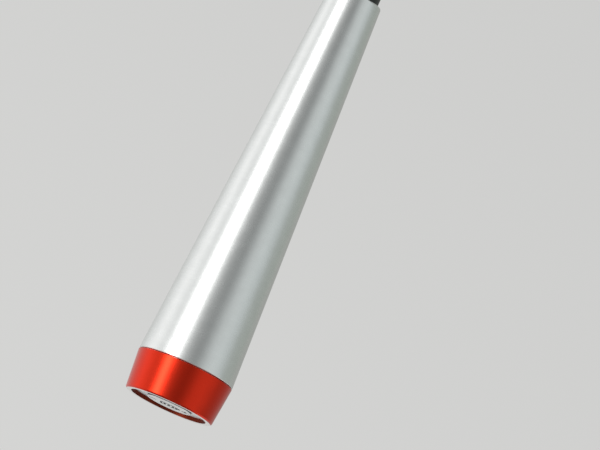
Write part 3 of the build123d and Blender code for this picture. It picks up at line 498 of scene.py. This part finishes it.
def lathe(name, outline, pick, materials):
    """Turns a closed outline round the Z axis.

    pick(radius, height, out, rise) gives a face's material number from the middle of its side
    and from the side's normal."""
    points = []
    for i, here in enumerate(outline):
        after = outline[(i + 1) % len(outline)]
        pieces = max(1, math.ceil((after - here).length / LONGEST_STEP))
        points += [here.lerp(after, k / pieces) for k in range(pieces)]
    mesh = bpy.data.meshes.new(name)
    bm = bmesh.new()
    rings = []
    for point in points:
        ring = []
        for k in range(SEGMENTS):
            angle = 2 * math.pi * k / SEGMENTS
            place = (point.x * math.cos(angle), point.x * math.sin(angle), point.y)
            ring.append(bm.verts.new(place))
        rings.append(ring)
    for i, ring in enumerate(rings):
        following = rings[(i + 1) % len(rings)]
        here, after = points[i], points[(i + 1) % len(points)]
        along = after - here
        middle = (here + after) / 2
        slot = pick(middle.x, middle.y, along.y, -along.x)
        for k in range(SEGMENTS):
            m = (k + 1) % SEGMENTS
            face = bm.faces.new((ring[k], ring[m], following[m], following[k]))
            face.smooth = True
            face.material_index = slot
    bmesh.ops.remove_doubles(bm, verts=bm.verts, dist=SAME_POINT)
    bmesh.ops.recalc_face_normals(bm, faces=bm.faces)
    bm.to_mesh(mesh)
    bm.free()
    for made in materials:
        mesh.materials.append(made)
    thing = bpy.data.objects.new(name, mesh)
    bpy.context.scene.collection.objects.link(thing)
    return thing


def stand_in(thing, node, body):
    """Shows a turned mesh in place of a CAD node, on its body."""
    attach(thing, body)
    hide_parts(node)


# The rounding of a sharp edge, and how near a vertex counts as being at a height.
EDGE = 0.05 * MM
NEAR = 0.02 * MM


def cone_line(node, low, high):
    """The outermost cone between two heights, as (radius at height 0, slope)."""
    first = radius_at(node, low - NEAR, low + NEAR)
    last = radius_at(node, high - NEAR, high + NEAR)
    slope = (last - first) / (high - low)
    return first - slope * low, slope


def vertex_heights(node, low, high, beyond):
    """The heights of a node's vertices between two heights that lie beyond a radius."""
    return sorted(
        v.co.z
        for v in nodes[node].data.vertices
        if low <= v.co.z <= high and math.hypot(v.co.x, v.co.y) > beyond
    )


# The sleeve: a thin cone with a chamfered foot, a rounded top and its stepped bore.
TOP_ROUND = 1.2 * MM
WIDEST_WITHIN = 0.1 * MM
TOP_STEP = 1.0 * MM

foot, top = (corner.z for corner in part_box("handle_sleeve"))
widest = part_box("handle_sleeve")[1].x
top_outer = radius_at("handle_sleeve", top - NEAR, top)
cone_start = vertex_heights("handle_sleeve", foot, top, widest - WIDEST_WITHIN)[-1]
cone_end = vertex_heights("handle_sleeve", top - 1.5 * TOP_ROUND, top, top_outer + TOP_STEP)[0]
base_radius, slope = cone_line("handle_sleeve", cone_start, cone_end)
foot_outer = radius_at("handle_sleeve", foot, foot + NEAR)
foot_bore = radius_at("handle_sleeve", foot, foot + NEAR, min)
top_bore = radius_at("handle_sleeve", top - NEAR, top, min)
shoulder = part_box("ground_ring")[0].z - EDGE
shoulder_bore = radius_at("handle_sleeve", shoulder - NEAR, shoulder + NEAR)

sleeve = lathe(
    "sleeve",
    softened(
        [
            (foot_bore, foot, EDGE),
            (foot_outer, foot, EDGE),
            (base_radius + slope * cone_start, cone_start, EDGE),
            (base_radius + slope * top, top, TOP_ROUND),
            (top_bore, top, EDGE),
            (top_bore, shoulder, 0.0),
            (shoulder_bore, shoulder, 0.0),
        ]
    ),
    lambda *side: 0,
    [silver],
)
stand_in(sleeve, "handle_sleeve", "handle")

# The end ring: red outside, a darker red on the recess wall as painted shade, and cut bright on its flat
# rim.
RIM_ROUND = 0.03 * MM
BEVEL_WITHIN = 1.0 * MM
BEVEL_STEP = 0.2 * MM
CROWN_WITHIN = 0.01 * MM
RED_OUTSIDE, BRIGHT_RIM, RED_PAINTED_SHADE = range(3)

rim, ring_top = (corner.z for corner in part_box("end_cap_ring"))
ring_bore = radius_at("end_cap_ring", rim, ring_top, min)
rim_outer = radius_at("end_cap_ring", rim, rim + NEAR)
bevel_top = vertex_heights(
    "end_cap_ring", rim + NEAR, rim + BEVEL_WITHIN, rim_outer + BEVEL_STEP
)[0]
bevel_outer = radius_at("end_cap_ring", bevel_top - NEAR, bevel_top + NEAR)
ring_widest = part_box("end_cap_ring")[1].x
ring_crown = vertex_heights("end_cap_ring", rim, ring_top, ring_widest - CROWN_WITHIN)[-1]
crown_radius = radius_at("end_cap_ring", ring_top - NEAR, ring_top)


def ring_part(across, up, out, rise):
    """Which of the ring's three materials a face has: red, the bright-cut rim, or the darker red of
    painted shade on the recess wall.
    """
    if abs(rise) > 2 * abs(out) and up < bevel_top:
        return BRIGHT_RIM
    return RED_PAINTED_SHADE if across < ring_bore + 2 * EDGE else RED_OUTSIDE


end_ring = lathe(
    "end_ring",
    softened(
        [
            (ring_bore, rim, EDGE),
            (rim_outer, rim, RIM_ROUND),
            (bevel_outer, bevel_top, RIM_ROUND),
            (ring_widest, ring_crown, EDGE),
            (crown_radius, ring_top, EDGE),
            (ring_bore, ring_top, EDGE),
        ]
    ),
    ring_part,
    [red, bright_cut, red_painted_shade],
)
stand_in(end_ring, "end_cap_ring", "end_cap")

# The magnifier's lens, turned on the line of sight: a fine mesh keeps its view clear.
SIGHT_TILT = math.radians(10)
ARC_STEPS = 24

sight = Vector((0.0, -math.cos(SIGHT_TILT), math.sin(SIGHT_TILT)))
lens_low, lens_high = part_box("magnifier_lens")
lens_centre = (lens_low + lens_high) / 2
lens_centre.x = 0.0
lens_places = []
for vertex in nodes["magnifier_lens"].data.vertices:
    offset = vertex.co - lens_centre
    along = offset.dot(sight)
    lens_places.append(((offset - along * sight).length, along))
lens_radius = max(across for across, along in lens_places)
lens_edges = [along for across, along in lens_places if across > lens_radius - NEAR]
lens_poles = [along for across, along in lens_places]


def lens_face(edge, pole):
    """Points of a spherical face, from its edge to its pole."""
    sag = abs(pole - edge)
    curve = (lens_radius**2 + sag**2) / (2 * sag)
    side = math.copysign(1.0, pole - edge)
    made = []
    for step in range(ARC_STEPS + 1):
        across = lens_radius * math.cos(math.pi / 2 * step / ARC_STEPS)
        drop = curve - math.sqrt(curve**2 - across**2)
        made.append(Vector((across, pole - side * drop)))
    made[-1].x = 0.0
    return made


rear_face = lens_face(min(lens_edges), min(lens_poles))
front_face = lens_face(max(lens_edges), max(lens_poles))
lens_outline = rear_face + front_face[::-1]
lens = lathe("lens", lens_outline, lambda *side: 0, [SLOT_MATERIALS["lens_glass"]])
lens_turn = Vector((0.0, 0.0, 1.0)).rotation_difference(sight)
lens.data.transform(Matrix.Translation(lens_centre) @ lens_turn.to_matrix().to_4x4())
stand_in(lens, "magnifier_lens", "magnifier")

# ------------------------------------------------------------------- camera and stage

# The camera looks along +X and slightly up, rolled so that the handle leans to the right.
# The slide moves it to its own right and up.
CAMERA_DISTANCE = 2.5
CAMERA_TARGET = Vector((0.0, 0.0, 0.070))
CAMERA_ELEVATION = math.radians(-8.4)
CAMERA_ROLL = math.radians(24.58)
CAMERA_SLIDE = (11.15 * MM, -7.97 * MM)
CAMERA_LENS = 492.4
CAMERA_SENSOR = 36.0
CAMERA_REACH = 50.0

level_right = Vector((0.0, -1.0, 0.0))
look = Vector((math.cos(CAMERA_ELEVATION), 0.0, -math.sin(CAMERA_ELEVATION)))
level_up = level_right.cross(look)
view_right = math.cos(CAMERA_ROLL) * level_right + math.sin(CAMERA_ROLL) * level_up
view_up = math.cos(CAMERA_ROLL) * level_up - math.sin(CAMERA_ROLL) * level_right

camera_data = bpy.data.cameras.new("camera")
camera_data.lens = CAMERA_LENS
camera_data.sensor_width = CAMERA_SENSOR
camera_data.clip_end = CAMERA_REACH
camera = bpy.data.objects.new("camera", camera_data)
bpy.context.scene.collection.objects.link(camera)
camera.matrix_world = Matrix(
    (
        (view_right.x, view_up.x, -look.x, 0),
        (view_right.y, view_up.y, -look.y, 0),
        (view_right.z, view_up.z, -look.z, 0),
        (0, 0, 0, 1),
    )
)
camera.location = (
    CAMERA_TARGET - CAMERA_DISTANCE * look + CAMERA_SLIDE[0] * view_right + CAMERA_SLIDE[1] * view_up
)
bpy.context.scene.camera = camera
bpy.context.scene.view_settings.view_transform = "Standard"

# The studio, as brightness round the handle: degrees from the camera's side, towards -Y.
STUDIO_STRENGTH = 6.0
STUDIO = (
    (-180, (0.64, 0.64, 0.63)),
    (-152, (0.60, 0.61, 0.60)),
    (-122, (0.82, 0.83, 0.83)),
    (-98, (1.06, 1.06, 1.06)),
    (-84, (0.90, 0.91, 0.91)),
    (-72, (0.70, 0.71, 0.71)),
    (-56, (0.64, 0.65, 0.65)),
    (-47, (5.00, 5.00, 5.00)),
    (-39, (5.00, 5.00, 5.00)),
    (-32, (1.10, 1.11, 1.11)),
    (-18, (0.46, 0.47, 0.47)),
    (-4, (0.30, 0.31, 0.31)),
    (14, (0.24, 0.25, 0.25)),
    (28, (0.40, 0.42, 0.42)),
    (40, (0.57, 0.60, 0.60)),
    (62, (0.62, 0.66, 0.66)),
    (80, (0.52, 0.56, 0.56)),
    (96, (0.38, 0.41, 0.39)),
    (125, (0.36, 0.39, 0.36)),
    (140, (0.40, 0.41, 0.39)),
    (150, (0.37, 0.38, 0.36)),
    (168, (0.40, 0.40, 0.39)),
    (180, (0.64, 0.64, 0.63)),
)
# Above and below, each level takes over between two heights on the unit sphere.
ZONES = (
    ((1.05, 1.05, 1.04), (0.80, 0.95)),
    ((0.76, 0.76, 0.75), (-0.35, -0.65)),
    ((0.28, 0.28, 0.28), (-0.72, -0.90)),
)
# Two softboxes high up, as directions from the object. Their colour is a share of
# STUDIO_STRENGTH, and each fades in between two angles from its middle.
SOFTBOXES = ((-0.45, 0.62, 0.64), (0.55, 0.55, 0.63))
SOFTBOX_COLOUR = (0.64, 0.64, 0.63, 1.0)
SOFTBOX_EDGE = (math.cos(math.radians(17)), math.cos(math.radians(11)))

# The plain backdrop: its colour, the way it gets lighter, and by how much.
BACKDROP = (0.638, 0.639, 0.630)
DRIFT_ACROSS = -0.75
DRIFT_UP = -0.66
DRIFT_SPAN = 0.045
DRIFT_LEVELS = (0.965, 1.035)


def share_of_strength(level):
    return (*(c / STUDIO_STRENGTH for c in level), 1.0)


def build_world():
    """The studio that lights the object, and the plain backdrop that the camera sees."""
    world = bpy.data.worlds.new("studio")
    bpy.context.scene.world = world
    world.use_nodes = True
    tree = Tree(world.node_tree)
    direction = tree.add("TexCoord").outputs["Generated"]
    x, y, z = tree.split(direction)
    turn = tree.math("ARCTAN2", tree.math("MULTIPLY", y, -1.0), tree.math("MULTIPLY", x, -1.0))
    share = tree.math("MULTIPLY_ADD", turn, 1 / (2 * math.pi), 0.5)
    ramp = tree.add("ValToRGB", {"Fac": share})
    ramp.color_ramp.interpolation = "LINEAR"
    # The ramp starts with two marks, which become the first and the last.
    marks = ramp.color_ramp.elements
    for degrees, level in STUDIO:
        position = degrees / 360 + 0.5
        if degrees == -180:
            mark = marks[0]
        elif degrees == 180:
            mark = marks[-1]
        else:
            mark = marks.new(position)
        mark.position = position
        mark.color = share_of_strength(level)
    colour = ramp.outputs[0]
    for level, heights in ZONES:
        colour = tree.mix(tree.span(z, *heights), colour, share_of_strength(level))
    for towards in SOFTBOXES:
        facing = tree.facing(direction, Vector(towards).normalized())
        colour = tree.mix(tree.span(facing, *SOFTBOX_EDGE), colour, SOFTBOX_COLOUR)
    studio = tree.add("Background", {"Color": colour, "Strength": STUDIO_STRENGTH})
    # What the camera sees behind the object is plain, a little lighter to the lower left.
    drift = tree.facing(direction, view_right * DRIFT_ACROSS + view_up * DRIFT_UP)
    lift = tree.span(drift, -DRIFT_SPAN, DRIFT_SPAN, *DRIFT_LEVELS, smooth=False)
    plain = tree.add("Background", {"Color": (*BACKDROP, 1.0), "Strength": lift})
    path = tree.add("LightPath").outputs
    seen = tree.math("MAXIMUM", path["Is Camera Ray"], path["Is Transmission Ray"])
    tree.send("OutputWorld", tree.choose(seen, studio, plain))


build_world()


FLOOR_HALF_WIDTH = 6.0
FLOOR_COLOUR = (0.60, 0.60, 0.585, 1.0)
# Just clear of the rim, which would flicker in the same plane.
FLOOR_DROP = 0.1 * MM


def build_floor():
    """A pale floor under the cap, drawn from above only, as the camera is below it."""
    mesh = bpy.data.meshes.new("floor")
    bm = bmesh.new()
    bmesh.ops.create_grid(bm, x_segments=1, y_segments=1, size=FLOOR_HALF_WIDTH)
    bm.to_mesh(mesh)
    bm.free()
    floor = bpy.data.objects.new("floor", mesh)
    floor.location.z = -FLOOR_DROP
    bpy.context.scene.collection.objects.link(floor)
    made = bpy.data.materials.new("floor")
    made.use_nodes = True
    tree = Tree(made.node_tree)
    paper = tree.add("BsdfDiffuse", {"Color": FLOOR_COLOUR})
    clear = tree.add("BsdfTransparent")
    behind = tree.add("NewGeometry").outputs["Backfacing"]
    tree.send("OutputMaterial", tree.choose(behind, paper, clear))
    mesh.materials.append(made)
    floor.visible_diffuse = False
    floor.visible_glossy = False
    floor.visible_transmission = False
    floor.visible_shadow = False
    # It drops with the cap, which stands on it, when the cap unscrews.
    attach(floor, "cap_spring")


build_floor()

bpy.context.view_layer.update()
